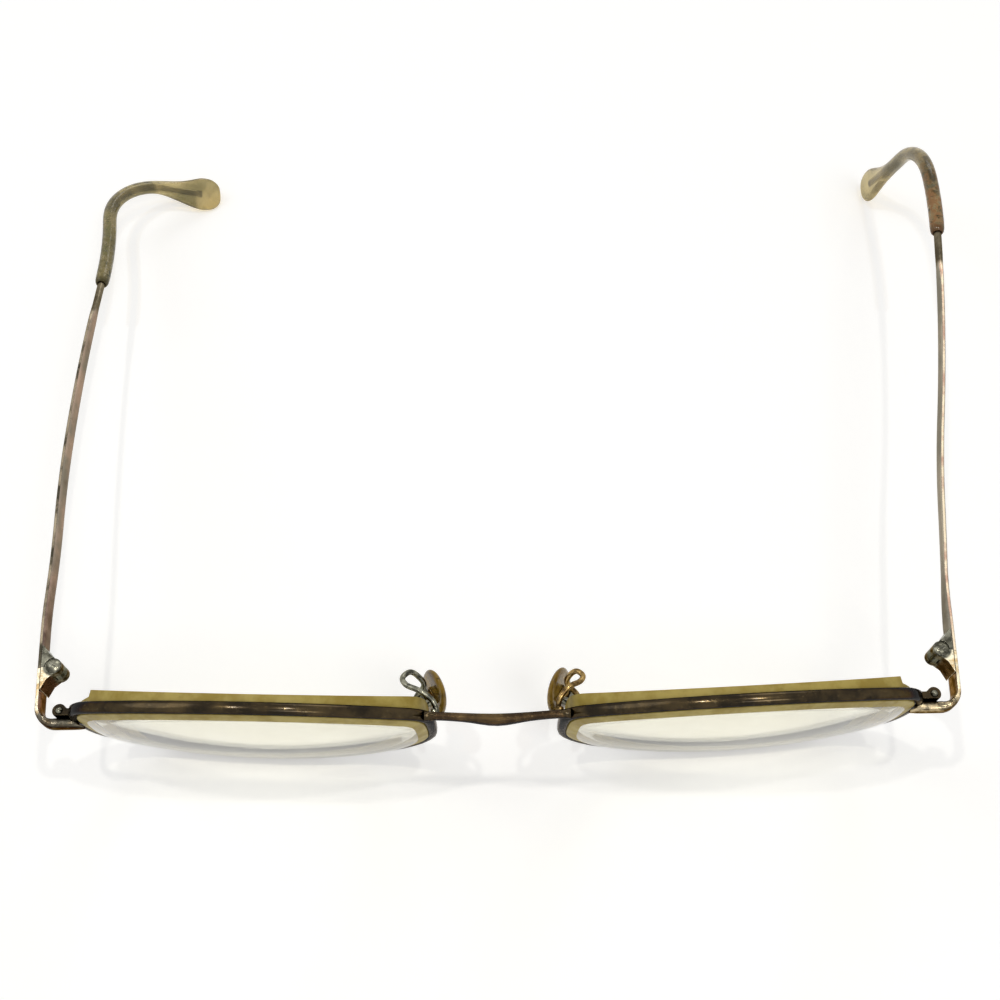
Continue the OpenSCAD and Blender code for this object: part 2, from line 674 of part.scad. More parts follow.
module ear_tip(side) {
    steps = side == LEFT ? left_points : right_points;
    core_end = temple_length + tip_length - core_inset;
    bore = wire_diameter + 2 * screw_gap;
    bore_round = section(bore, bore, 2, section_points);
    covered = [for (s = steps) if (s[4] >= temple_length - 0.001) s];
    cored = [for (s = covered) if (s[4] <= core_end + bend_step / 2) s];
    inner = [for (i = [len(cored) - 1:-1:0]) let (s = cored[i])
        on_frame(s[0], step_side(s), step_up(s), bore_round)];
    outer = [for (s = covered) on_frame(s[0], step_side(s), step_up(s), tip_section(s[4]))];
    color(celluloid) on_side(side) skin(concat(inner, outer));
}

// Nose pads and what carries them, about the pad's middle with the nose towards -X
module nose_pad(side) {
    layers = [[-0.6, 0.5], [-0.5, 0.76], [-0.3, 0.92], [0, 1], [0.22, 0.97], [0.36, 0.86], [0.4, 0.7]];
    rings = [for (k = layers)
        [for (q = section(pad_width * k[1], pad_height * k[1], 2.15, 20))
            [k[0] * pad_thickness, -q[0], q[1]]]];
    color(amber) on_side(side) at_pad() skin(rings);
}

module across_pivot() {
    translate([pad_pivot, 0, 0]) rotate([-90, 0, 0]) children();
}

module pad_screw_hole() {
    across_pivot() rod(pad_screw_radius + screw_gap, -box_height, box_height, 32);
}

module pad_insert(side) {
    x0 = pad_back + seat_gap;
    h = box_height - 2 * pad_wall;
    plate = 1.5 * insert_width;
    color(nickel) on_side(side) at_pad() difference() {
        union() {
            translate([x0, -insert_width / 2, -h / 2]) cube([pad_pivot - x0, insert_width, h]);
            across_pivot() rod(pad_screw_radius + 0.28, -insert_width / 2, insert_width / 2, 32);
            translate([x0, -plate / 2, -plate]) cube([0.2, plate, 2 * plate]);
        }
        pad_screw_hole();
    }
}

module pad_box(side) {
    inner = insert_width / 2 + knuckle_gap;
    outer = inner + ear_thickness;
    h = box_height;
    x0 = pad_back + 1.5 * pad_wall;
    color(nickel) on_side(side) at_pad() difference() {
        translate([x0, -outer, -h / 2]) cube([box_end - x0, 2 * outer, h]);
        translate([0, -inner, -h]) cube([box_end - pad_wall, 2 * inner, 2 * h]);
        pad_screw_hole();
    }
}

module pad_screw(side) {
    outer = insert_width / 2 + knuckle_gap + ear_thickness;
    head = pad_screw_radius;
    under = -outer - seat_gap;
    color(nickel) on_side(side) at_pad() across_pivot() difference() {
        union() {
            rod(pad_screw_radius, under, outer + seat_gap, 32);
            rod(1.7 * pad_screw_radius, under - head, under, 32);
        }
        screw_slot(under - head, head / 2);
    }
}

function at_pad_point(x, y, z) =
    let (lx = x * cos(pad_lean) - z * sin(pad_lean), lz = x * sin(pad_lean) + z * cos(pad_lean))
    pad_spot + [lx * cos(pad_turn) + y * sin(pad_turn), -lx * sin(pad_turn) + y * cos(pad_turn), lz];

module pad_arm(side) {
    r = arm_diameter / 2;
    seat = at_pad_point(box_end + seat_gap + r, 0, 0);
    foot = foot_side + [-r - seat_gap, -0.6, 0];
    out = side == LEFT ? left_loop_shift : right_loop_shift;
    size = side == LEFT ? left_loop_size : right_loop_size;
    climb = [[0, 0, 0], [0, 1.3, 0.2], [0.3 + out / 3, 2.7, 1]];
    eye = [2.8 + out, 5.8, 0.2];
    loop = [[-1.3, -1.9, 1.5], [0.6, -0.9, 1], [1.3, 0.5, 0.2], [0.2, 1.7, -0.6], [-1, 1.3, -1.8]];
    fall = [[1.7 + out / 3, 6.4, -3.6]];
    hold = [[0.25, 0.1, 1.7], [0.03, 0, 0.4], [0.03, 0, -0.9]];
    points = smooth(concat([for (p = climb) foot + p], [for (p = loop) foot + eye + size * p],
        [for (p = fall) foot + p], [for (p = hold) seat + p]), 3);
    t = tangents(points);
    u = carried(t, [1, 0, 0]);
    round_wire = section(arm_diameter, arm_diameter, 2, 8);
    color(nickel) on_side(side)
        skin([for (i = [0:len(points) - 1])
            on_frame(points[i], u[i], cross(u[i], t[i]), round_wire)]);
}

stand() bridge();
stand() rim(LEFT);  // left_rim
stand() rim(RIGHT);  // right_rim
stand() lens(LEFT);  // left_lens
stand() lens(RIGHT);  // right_lens
stand() upper_lock(LEFT);  // left_upper_lock
stand() upper_lock(RIGHT);  // right_upper_lock
stand() lower_lock(LEFT);  // left_lower_lock
stand() lower_lock(RIGHT);  // right_lower_lock
stand() lock_screw(LEFT);  // left_lock_screw
stand() lock_screw(RIGHT);  // right_lock_screw
stand() end_piece(LEFT);  // left_end_piece
stand() end_piece(RIGHT);  // right_end_piece
stand() front_leaf(LEFT);  // left_front_leaf
stand() front_leaf(RIGHT);  // right_front_leaf
stand() hinge_screw(LEFT);  // left_hinge_screw
stand() hinge_screw(RIGHT);  // right_hinge_screw
stand() temple_leaf(LEFT);  // left_temple_leaf
stand() temple_leaf(RIGHT);  // right_temple_leaf
stand() temple(LEFT);  // left_temple
stand() temple(RIGHT);  // right_temple
stand() ear_tip(LEFT);  // left_ear_tip
stand() ear_tip(RIGHT);  // right_ear_tip
stand() pad_arm(LEFT);  // left_pad_arm
stand() pad_arm(RIGHT);  // right_pad_arm
stand() pad_box(LEFT);  // left_pad_box
stand() pad_box(RIGHT);  // right_pad_box
stand() pad_screw(LEFT);  // left_pad_screw
stand() pad_screw(RIGHT);  // right_pad_screw
stand() pad_insert(LEFT);  // left_pad_insert
stand() pad_insert(RIGHT);  // right_pad_insert
stand() nose_pad(LEFT);  // left_nose_pad
stand() nose_pad(RIGHT);  // right_nose_pad
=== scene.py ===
import json
import math

import bmesh
import bpy
from mathutils import Matrix, Vector


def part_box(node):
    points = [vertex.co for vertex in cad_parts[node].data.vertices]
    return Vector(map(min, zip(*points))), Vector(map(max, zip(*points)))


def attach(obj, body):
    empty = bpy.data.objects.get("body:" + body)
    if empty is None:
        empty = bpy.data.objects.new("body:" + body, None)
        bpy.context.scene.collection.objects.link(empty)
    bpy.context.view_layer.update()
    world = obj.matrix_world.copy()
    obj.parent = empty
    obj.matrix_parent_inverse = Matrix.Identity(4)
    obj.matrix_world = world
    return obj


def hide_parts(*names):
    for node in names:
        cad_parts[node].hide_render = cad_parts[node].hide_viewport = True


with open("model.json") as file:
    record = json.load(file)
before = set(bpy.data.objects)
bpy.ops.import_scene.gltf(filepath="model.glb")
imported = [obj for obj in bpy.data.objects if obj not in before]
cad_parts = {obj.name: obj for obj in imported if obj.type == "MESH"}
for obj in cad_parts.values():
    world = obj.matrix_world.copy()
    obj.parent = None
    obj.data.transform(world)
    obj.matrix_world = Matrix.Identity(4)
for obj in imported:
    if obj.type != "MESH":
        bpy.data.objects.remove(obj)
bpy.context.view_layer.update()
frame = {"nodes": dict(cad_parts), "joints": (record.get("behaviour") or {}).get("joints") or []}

NODES = frame["nodes"]
SIDES = {"left": -1, "right": 1}
BODY = "front"
MM = 0.001

# The camera, fitted to the photograph: its place and its own right and up ways
CAMERA_PLACE = Vector((-0.004985, -0.11246, 0.201506))
CAMERA_RIGHT = Vector((0.99983, -0.01845, 0.00260))
CAMERA_UP = Vector((0.01525, 0.89088, 0.45399))
CAMERA_LENS = 44.61
CAMERA_SENSOR = 36.0
CAMERA_NEAR = 0.01

# Light: area lamps as place, size, power and colour
LAMPS = {
    "key": ((0.25, -0.45, 0.85), 0.35, 1.8, (1.0, 0.985, 0.96)),
    "fill": ((-0.7, 0.2, 0.7), 0.6, 1.35, (0.97, 0.985, 1.0)),
    "back": ((0.3, 0.9, 0.6), 0.5, 1.3, (1.0, 0.99, 0.97)),
    "left_spark": ((-0.14, -0.02, 0.62), 0.02, 0.4, (1.0, 0.96, 0.88)),
    "right_spark": ((0.12, -0.03, 0.64), 0.02, 0.4, (1.0, 0.96, 0.88)),
}
AIM = Vector((0.0, -0.01, 0.015))
WORLD_LIGHT = 0.4
FLOOR_GLOW = 0.28
FLOOR_SIZE = 3.0
FLOOR_DROP = 0.0001
FLOOR_COLOUR = (0.86, 0.86, 0.855, 1.0)
WHITE = (1.0, 1.0, 1.0, 1.0)

# The lens, after the CAD source, in millimetres, and its angles in radians
EYE = 52.0
LENS_HEIGHT = 38.4
LENS_TILT = math.radians(6.7)
LENS_WRAP = math.radians(1.9)
FRONT_RADIUS = 130.0
BACK_RADIUS = 85.0
CENTRE_THICKNESS = 2.5
LEDGE = 1.1
EDGE_INSET = 0.45
RIDGE = 0.22
RIM_HALF = 0.85
RELIEF = 3.4
OUTER_ARC = ((-44.0, -2.0), 70.0)
TOP_ARC = ((0.5, -17.8), 37.0)
INNER_ARC = ((44.0, 1.0), 70.0)
BOTTOM_ARC = ((4.0, 80.8), 100.0)
CORNERS = (9.0, 7.0, 17.0, 11.0)

# The chamfer that only this script's lens has, and how its faces are drawn
CHAMFER_WIDTH = 1.5
CHAMFER_DEPTH = 0.28
SHRINK_STEPS = 12
BACK_LAST_RING = 0.975
RELIEF_REACH = 12.0
LENS_EDGE_ANGLE = math.radians(12)

# Solder collars, in metres: how deep the end of the smaller piece is measured, how far the collar's
# root is moved from there (x outward), its way, its length and, for an arm, its half width and height
UP = Vector((0, 0, 1))
BRIDGE_END = 0.0008
BRIDGE_SHIFT = 0.0004
BRIDGE_COLLAR = 0.0019
ARM_END = 0.0006
ARM_SHIFT = (0.0003, 0.0002)
ARM_WAY = Vector((0, 1, 0.1))
ARM_COLLAR = 0.0013
ARM_HALVES = (0.00052, 0.00056)
SOLDER_TURNS = 24
SOLDER_LAYERS = 9
SOLDER_FLARE = 0.28
SOLDER_FADE = 0.85
SOLDER_FILM = 0.0001

# Colours that differ by side or plastic, each pair from dark to light
# Painted light: a temple's edges pair colours its up and down faces, lighter than its side faces on the right
# temple and darker on the left, as the light falls.
BAR_TONES = {
    "left": {"faces": ((0.25, 0.225, 0.18), (0.50, 0.36, 0.28)),
             "edges": ((0.055, 0.05, 0.035), (0.36, 0.30, 0.21)), "bruise": (0.11, 0.075, 0.065)},
    "right": {"faces": ((0.26, 0.25, 0.205), (0.44, 0.40, 0.32)),
              "edges": ((0.58, 0.38, 0.28), (0.92, 0.78, 0.56)), "bruise": (0.20, 0.185, 0.155)},
}
# Painted shadow: the tongue pair darkens the tongue in front of an end piece, tarnish with painted shadow,
# nearly black on the left.
END_TONES = {
    "left": {"walls": ((0.055, 0.036, 0.030), (0.22, 0.13, 0.095)),
             "tongue": ((0.016, 0.014, 0.011), (0.10, 0.085, 0.065))},
    "right": {"walls": ((0.08, 0.052, 0.030), (0.34, 0.22, 0.12)),
              "tongue": ((0.06, 0.045, 0.024), (0.50, 0.40, 0.24))},
}
TIP_TONES = {"pale": (0.64, 0.53, 0.26), "mid": (0.27, 0.23, 0.10), "stain": (0.10, 0.085, 0.045)}
PAD_TONES = {"pale": (0.40, 0.25, 0.035), "mid": (0.15, 0.088, 0.012), "stain": (0.022, 0.014, 0.005)}
# Rust that creeps in from the mouth of an ear tip: how far, in millimetres, and its colours
BORES = {
    "left": {"reach": 28.0, "rust": (0.17, 0.14, 0.050), "streak": (0.20, 0.19, 0.07)},
    "right": {"reach": 23.0, "rust": (0.30, 0.145, 0.055), "streak": (0.050, 0.040, 0.006)},
}
TARNISH = (0.022, 0.030, 0.012)
# Painted shade on the outward side of an ear tip
PAINTED_OUTER_SHADE = (0.022, 0.022, 0.012)

# Where a mask is full and where it has faded, in millimetres: along y for the tongue in front of an
# end piece and its painted shadow, up z for the darkening towards the bottom of a lens edge, and from
# a hinge pin or an ear tip's mouth for the others, among them the painted shade on an ear tip's
# outward side. The core's mask runs the other way: none at the first distance before the mouth, full
# at the second.
TONGUE_FADE = (-57.0, -55.4)
LENS_LOW_DARK_FADE = (2.0, 14.0)
CORE_FADE = (8.0, 6.0)
KNUCKLE_FADE = (1.35, 1.75)
BRUISE_FADE = (5.0, 24.0)
LIP_FADE = (1.1, 2.3)
PAINTED_OUTER_SHADE_FADE = (22.0, 34.0)
STREAK_END_FADE = (17.0, 23.0)
STREAK_START_FADE = (5.0, 9.0)

# How a kind of node is smoothed: the angle of the edges kept sharp, or levels of rounding
SMOOTHING = {"rim": (62.0, 0), "temple": (50.0, 0), "ear_tip": (0.0, 2), "nose_pad": (0.0, 2),
             "pad_arm": (0.0, 2), "end_piece": (48.0, 0), "bridge": (50.0, 0)}
PLAIN_SMOOTHING = (38.0, 0)
WELD_REACH = 2e-6


def links(tree, *pairs):
    for source, target in pairs:
        tree.links.new(source, target)


class Surface:
    """One node material, with short ways to build its masks and colours."""

    def __init__(self, name):
        self.material = bpy.data.materials.new(name)
        self.material.use_nodes = True
        self.tree = self.material.node_tree
        self.shader = self.tree.nodes["Principled BSDF"]
        self.output = self.tree.nodes["Material Output"]
        self.coords = self.tree.nodes.new("ShaderNodeTexCoord")
        self.place = self.scaled((1, 1, 1))

    def node(self, kind, **values):
        made = self.tree.nodes.new(kind)
        for key, value in values.items():
            setattr(made, key, value)
        return made

    def feed(self, socket, value):
        if isinstance(value, bpy.types.NodeSocket):
            self.tree.links.new(value, socket)
        else:
            socket.default_value = value

    def scaled(self, stretch):
        """Object coordinates in millimetres, stretched along each axis."""
        mapping = self.node("ShaderNodeMapping")
        mapping.inputs["Scale"].default_value = [s / MM for s in stretch]
        self.tree.links.new(self.coords.outputs["Object"], mapping.inputs["Vector"])
        return mapping.outputs[0]

    def noise(self, size, detail=4.0, rough=0.55, place=None, warp=0.0):
        """Noise whose patches are about size millimetres wide."""
        made = self.node("ShaderNodeTexNoise")
        self.feed(made.inputs["Vector"], place or self.place)
        self.feed(made.inputs["Scale"], 1.0 / size)
        self.feed(made.inputs["Detail"], detail)
        self.feed(made.inputs["Roughness"], rough)
        self.feed(made.inputs["Distortion"], warp)
        return made.outputs["Fac"]

    def span(self, value, low, high, start=0.0, end=1.0):
        """Maps low to high smoothly onto start to end, and holds the ends."""
        made = self.node("ShaderNodeMapRange", interpolation_type="SMOOTHSTEP")
        self.feed(made.inputs["Value"], value)
        for key, number in zip(("From Min", "From Max", "To Min", "To Max"), (low, high, start, end)):
            made.inputs[key].default_value = number
        return made.outputs["Result"]

    def split(self, vector):
        made = self.node("ShaderNodeSeparateXYZ")
        self.tree.links.new(vector, made.inputs[0])
        return made.outputs

    def calc(self, operation, a, b, clamp=False):
        """One Math node of the named operation."""
        made = self.node("ShaderNodeMath", operation=operation, use_clamp=clamp)
        self.feed(made.inputs[0], a)
        self.feed(made.inputs[1], b)
        return made.outputs[0]

    def mix(self, mask, a, b):
        """Colour a where the mask is 0 and colour b where it is 1."""
        made = self.node("ShaderNodeMix", data_type="RGBA")
        self.feed(made.inputs[0], mask)
        self.feed(made.inputs[6], a if isinstance(a, bpy.types.NodeSocket) else (*a, 1.0))
        self.feed(made.inputs[7], b if isinstance(b, bpy.types.NodeSocket) else (*b, 1.0))
        return made.outputs[2]

    def edges(self, radius, low=0.02, high=0.35):
        """A mask of the convex and hollow edges, from a rounded copy of the normals."""
        bevel = self.node("ShaderNodeBevel", samples=4)
        bevel.inputs["Radius"].default_value = radius * MM
        geometry = self.node("ShaderNodeNewGeometry")
        dot = self.node("ShaderNodeVectorMath", operation="DOT_PRODUCT")
        self.feed(dot.inputs[0], bevel.outputs[0])
        self.feed(dot.inputs[1], geometry.outputs["Normal"])
        return self.span(self.calc("SUBTRACT", 1.0, dot.outputs["Value"]), low, high)

    def hollows(self, reach):
        """A mask of slots, seams, inner corners and places near other parts, from ambient occlusion, where
        the materials paint shade.
        """
        shade = self.node("ShaderNodeAmbientOcclusion", samples=6, only_local=False)
        shade.inputs["Distance"].default_value = reach * MM
        return self.span(shade.outputs["AO"], 0.35, 0.80, 1.0, 0.0)

    def near(self, point, inner, outer, flat=False):
        """1 within inner millimetres of a point at rest, 0 beyond outer; flat leaves out the height."""
        offset = self.node("ShaderNodeVectorMath", operation="SUBTRACT")
        self.feed(offset.inputs[0], self.place)
        offset.inputs[1].default_value = [c / MM for c in point]
        weigh = self.node("ShaderNodeVectorMath", operation="MULTIPLY")
        self.feed(weigh.inputs[0], offset.outputs[0])
        weigh.inputs[1].default_value = (1.0, 1.0, 0.0 if flat else 1.0)
        length = self.node("ShaderNodeVectorMath", operation="LENGTH")
        self.feed(length.inputs[0], weigh.outputs[0])
        return self.span(length.outputs["Value"], inner, outer, 1.0, 0.0)

    def bump(self, height, depth, strength=1.0, soften=0.0):
        """Relief depth millimetres deep, over edges rounded by soften millimetres."""
        made = self.node("ShaderNodeBump")
        made.inputs["Strength"].default_value = strength
        made.inputs["Distance"].default_value = depth * MM
        self.feed(made.inputs["Height"], height)
        if soften:
            bevel = self.node("ShaderNodeBevel", samples=4)
            bevel.inputs["Radius"].default_value = soften * MM
            self.tree.links.new(bevel.outputs[0], made.inputs["Normal"])
        self.tree.links.new(made.outputs[0], self.shader.inputs["Normal"])

    def set(self, **values):
        """Sets or links inputs of the main shader, with _ for each space in a name."""
        for key, value in values.items():
            self.feed(self.shader.inputs[key.replace("_", " ")], value)

    def clear_to_lamps(self, tint):
        """Lets lamp rays through, so glass and clear plastic cast a light shadow."""
        path = self.node("ShaderNodeLightPath")
        through = self.node("ShaderNodeBsdfTransparent")
        self.feed(through.inputs["Color"], (*tint, 1.0))
        mixer = self.node("ShaderNodeMixShader")
        links(self.tree, (path.outputs["Is Shadow Ray"], mixer.inputs[0]),
              (self.shader.outputs[0], mixer.inputs[1]), (through.outputs[0], mixer.inputs[2]),
              (mixer.outputs[0], self.output.inputs["Surface"]))


def end_of(node, axis, way, depth=0.0003):
    """The middle and half sizes of a node's end, from its points near one side of its box."""
    low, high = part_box(node)
    limit = high[axis] - depth if way > 0 else low[axis] + depth
    near = [v.co for v in NODES[node].data.vertices if (v.co[axis] - limit) * way > 0]
    lows, highs = ([f(p[i] for p in near) for i in range(3)] for f in (min, max))
    return (Vector(lows) + Vector(highs)) / 2, (Vector(highs) - Vector(lows)) / 2


def hinge_pin(side):
    """A point on the axis of a temple's hinge, in metres."""
    return next(joint for joint in frame["joints"] if joint["name"] == side + "_temple_fold")["pos_m"]


def worn_metal(name, deep, body, bright, grazing, patch, grime, gloss, wear, coat):
    """Old plated metal: a body colour, worn bright along edges, dark in patches and pits, and with painted
    shade in its hollows.

    deep, body, bright and grazing are colours, patch is the size of its clouds in millimetres, gloss
    its lowest roughness, and grime, wear and coat are shares.
    """
    s = Surface(name)
    clouds = s.noise(patch, 5.0, 0.6)
    streaks = s.noise(0.5, 3.0, 0.6, None, 0.4)
    pits = s.span(s.noise(0.16, 2.0, 0.5), 0.30, 0.40, 1.0, 0.0)
    colour = s.mix(s.span(clouds, 0.36, 0.66), deep, body)
    colour = s.mix(s.span(streaks, 0.58, 0.80, 0.0, 0.25), colour, bright)
    edge = s.calc("MULTIPLY", s.edges(0.16), s.span(s.noise(1.1), 0.38, 0.62))
    colour = s.mix(s.calc("MULTIPLY", edge, wear), colour, bright)
    dirt = s.span(s.noise(1.7, 5.0, 0.65, None, 0.3), 0.56, 0.70)
    colour = s.mix(s.calc("MULTIPLY", dirt, grime), colour, [0.4 * c for c in deep])
    colour = s.mix(s.calc("MULTIPLY", pits, 0.5), colour, [0.4 * c for c in deep])
    # Painted shade: hollows and places near other parts go nearly black.
    colour = s.mix(s.calc("MULTIPLY", s.hollows(0.35), 0.85), colour, [0.3 * c for c in deep])
    rough = s.calc("ADD", s.span(clouds, 0.3, 0.7, gloss + 0.08, gloss), s.calc("MULTIPLY", dirt, 0.18), True)
    s.set(Base_Color=colour, Metallic=1.0, Roughness=rough, Coat_Weight=coat, Coat_Roughness=0.12,
          Specular_Tint=(*grazing, 1.0))
    s.bump(s.calc("SUBTRACT", s.noise(0.45, 4.0), s.calc("MULTIPLY", pits, 0.6)), 0.015, 0.4, 0.10)
    return s.material


def bar_metal(side, faces, edges, bruise):
    """A temple's plate: pink gold and grey, bruised near the hinge, with painted light on its up and down
    faces and painted shade along its edges.
    """
    s = Surface("rose_metal_" + side)
    mouth = end_of(side + "_ear_tip", 1, -1)[0]
    level = s.split(s.coords.outputs["Normal"])[2]
    # Painted light: faces that point up or down take the edges colours, a painted highlight on the right
    # temple and painted shade on the left; the sides take the faces colours.
    up_down_shading = s.span(s.calc("ABSOLUTE", level, 0.0), 0.45, 0.8)
    clouds = s.noise(9.0, 5.0, 0.6)
    face = s.mix(s.span(clouds, 0.36, 0.64), *faces)
    patches = s.span(s.noise(5.0, 4.0, 0.6), 0.36, 0.60)
    blotch = s.calc("ADD", s.calc("MULTIPLY", patches, 0.5), 0.5)
    stain = s.calc("MULTIPLY", s.near(hinge_pin(side), *BRUISE_FADE), blotch)
    face = s.mix(stain, face, bruise)
    face = s.mix(s.span(s.noise(5.0, 4.0, 0.6), 0.58, 0.74, 0.0, 0.5), face, bruise)
    edge = s.mix(s.span(s.noise(4.0, 4.0, 0.6), 0.38, 0.60), *edges)
    colour = s.mix(up_down_shading, face, edge)
    # Painted shade: a dark line along the rounded edges of the plate.
    line = s.calc("MULTIPLY", s.edges(0.14, 0.01, 0.10), s.span(s.noise(2.5, 4.0), 0.25, 0.6, 0.5, 1.0))
    colour = s.mix(line, colour, (0.075, 0.058, 0.042))
    dirt = s.span(s.noise(1.3, 5.0, 0.65, None, 0.4), 0.60, 0.72, 0.0, 0.6)
    colour = s.mix(dirt, colour, (0.12, 0.10, 0.07))
    core = s.span(s.split(s.place)[1], *(mouth.y / MM - c for c in CORE_FADE))
    colour = s.mix(core, colour, s.mix(patches, (0.075, 0.062, 0.040), (0.19, 0.16, 0.105)))
    pits = s.span(s.noise(0.18, 2.0, 0.5), 0.30, 0.40, 1.0, 0.0)
    s.set(Base_Color=colour, Metallic=1.0, Roughness=s.span(clouds, 0.3, 0.7, 0.36, 0.24),
          Specular_Tint=(0.5, 0.46, 0.40, 1.0))
    s.bump(s.calc("SUBTRACT", s.noise(0.5, 4.0), s.calc("MULTIPLY", pits, 0.6)), 0.015, 0.4, 0.10)
    return s.material


def end_gold(side, walls, tongue):
    """Gold plate with a painted cream highlight on its up-facing faces and edges, painted shade in its
    hollows, a tongue darkened by tarnish and painted shadow, and a tarnished knuckle.
    """
    s = Surface("worn_gold_" + side)
    level = s.split(s.coords.outputs["Normal"])[2]
    clouds = s.noise(1.8, 5.0, 0.6)
    colour = s.mix(s.span(clouds, 0.36, 0.62), *walls)
    # Painted highlight: faces that point up turn cream.
    top = s.mix(s.span(s.noise(1.4, 4.0, 0.6), 0.34, 0.56), (0.62, 0.43, 0.21), (0.97, 0.89, 0.66))
    colour = s.mix(s.span(level, 0.45, 0.85), colour, top)
    # Painted highlight: a cream line along the edges.
    colour = s.mix(s.calc("MULTIPLY", s.edges(0.16), 0.6), colour, (0.92, 0.80, 0.55))
    dirt = s.span(s.noise(1.1, 5.0, 0.65, None, 0.3), 0.55, 0.68, 0.0, 0.75)
    colour = s.mix(dirt, colour, (0.045, 0.032, 0.022))
    # Tarnish and painted shadow: the tongue in front of the end piece goes dark, nearly black on the left.
    in_front = s.span(s.split(s.place)[1], *TONGUE_FADE, 1.0, 0.0)
    tongue_tarnish_and_shadow = s.mix(s.span(s.noise(1.2, 4.0), 0.45, 0.68), *tongue)
    colour = s.mix(s.calc("MULTIPLY", in_front, 0.92), colour, tongue_tarnish_and_shadow)
    knuckle = s.near(hinge_pin(side), *KNUCKLE_FADE, True)
    grey = s.mix(s.span(s.noise(0.7, 4.0), 0.4, 0.65), (0.045, 0.045, 0.035), (0.20, 0.195, 0.15))
    colour = s.mix(knuckle, colour, grey)
    # Painted shade: hollows and places near other parts go nearly black.
    colour = s.mix(s.calc("MULTIPLY", s.hollows(0.4), 0.8), colour, (0.02, 0.015, 0.010))
    s.set(Base_Color=colour, Metallic=1.0, Roughness=s.span(clouds, 0.3, 0.7, 0.34, 0.20),
          Specular_Tint=(0.5, 0.4, 0.3, 1.0))
    s.bump(s.calc("SUBTRACT", s.noise(0.4, 4.0), s.calc("MULTIPLY", dirt, 0.5)), 0.02, 0.5, 0.10)
    return s.material


def rust_in(s, colour, murk, mouth, reach, rust, streak):
    """Lays rust, tarnish and a painted shade on the outward side over an ear tip's colour, and adds them to
    its murk.
    """
    creep = s.near(mouth, 0.35 * reach, reach)
    rusty = s.calc("MULTIPLY", creep, s.span(s.noise(1.3, 4.0, 0.6, None, 0.7), 0.34, 0.56))
    green = s.span(s.noise(1.9, 4.0, 0.65, None, 1.0), 0.56, 0.64)
    colour = s.mix(s.calc("MULTIPLY", rusty, 0.92), colour, s.mix(green, rust, TARNISH))
    lip = s.near(mouth, *LIP_FADE)
    colour = s.mix(s.calc("MULTIPLY", lip, 0.85), colour, [0.45 * c for c in rust])
    outward, _, level = s.split(s.coords.outputs["Normal"])
    # Painted shade: the outward-facing side of the tip, near its mouth, goes dark.
    outer = s.span(s.calc("MULTIPLY", outward, math.copysign(1.0, mouth.x)), 0.45, 0.85, 0.0, 0.55)
    outer = s.calc("MULTIPLY", outer, s.near(mouth, *PAINTED_OUTER_SHADE_FADE))
    colour = s.mix(outer, colour, PAINTED_OUTER_SHADE)
    top = s.calc("MULTIPLY", s.span(level, 0.80, 0.97), s.span(s.noise(2.2, 4.0, 0.6), 0.40, 0.55))
    length = s.calc("SUBTRACT", s.near(mouth, *STREAK_END_FADE), s.near(mouth, *STREAK_START_FADE))
    stripe = s.calc("MULTIPLY", s.calc("MULTIPLY", top, length), 0.85, True)
    colour = s.mix(stripe, colour, streak)
    murk = s.calc("MAXIMUM", s.calc("MAXIMUM", murk, rusty), s.calc("MAXIMUM", lip, outer))
    return colour, murk


def cast_plastic(name, tones, patch, clear, stain_share, shine, bore=None, mouth=None):
    """Yellowed clear plastic, cloudy and stained, with rust creeping in from the mouth of its bore."""
    s = Surface(name)
    clouds = s.noise(patch, 3.0, 0.5, None, 0.4)
    colour = s.mix(s.span(clouds, 0.36, 0.64), tones["mid"], tones["pale"])
    murk = s.span(s.noise(patch * 0.35, 4.0, 0.65, None, 0.8), stain_share, stain_share + 0.08)
    colour = s.mix(s.calc("MULTIPLY", murk, 0.8), colour, tones["stain"])
    if bore:
        colour, murk = rust_in(s, colour, murk, mouth, **bore)
    s.set(Base_Color=colour, Roughness=s.span(s.noise(1.4, 4.0, 0.6), 0.35, 0.7, 0.06, 0.20), IOR=1.49)
    s.set(Specular_IOR_Level=shine, Transmission_Weight=s.span(murk, 0.0, 1.0, clear, clear * 0.35))
    scratches = s.noise(0.35, 2.0, 0.5, s.scaled((1.0, 0.15, 1.0)))
    s.bump(s.calc("ADD", s.calc("MULTIPLY", scratches, 0.5), s.noise(2.2)), 0.02, 0.3)
    s.clear_to_lamps(tones["pale"])
    return s.material


def lens_glass():
    """Polished glass, faintly yellow and smeared with age."""
    s = Surface("lens_glass_polished")
    smear = s.span(s.noise(7.0, 4.0, 0.6, None, 0.6), 0.3, 0.7)
    clean = s.mix(smear, (0.775, 0.755, 0.625), (0.825, 0.81, 0.69))
    s.set(Base_Color=clean, IOR=1.523, Transmission_Weight=1.0)
    s.set(Roughness=s.span(s.noise(3.0, 5.0, 0.6), 0.5, 0.8, 0.0, 0.03))
    s.bump(s.noise(9.0, 2.0), 0.01, 0.1)
    s.clear_to_lamps((0.94, 0.93, 0.87))
    return s.material


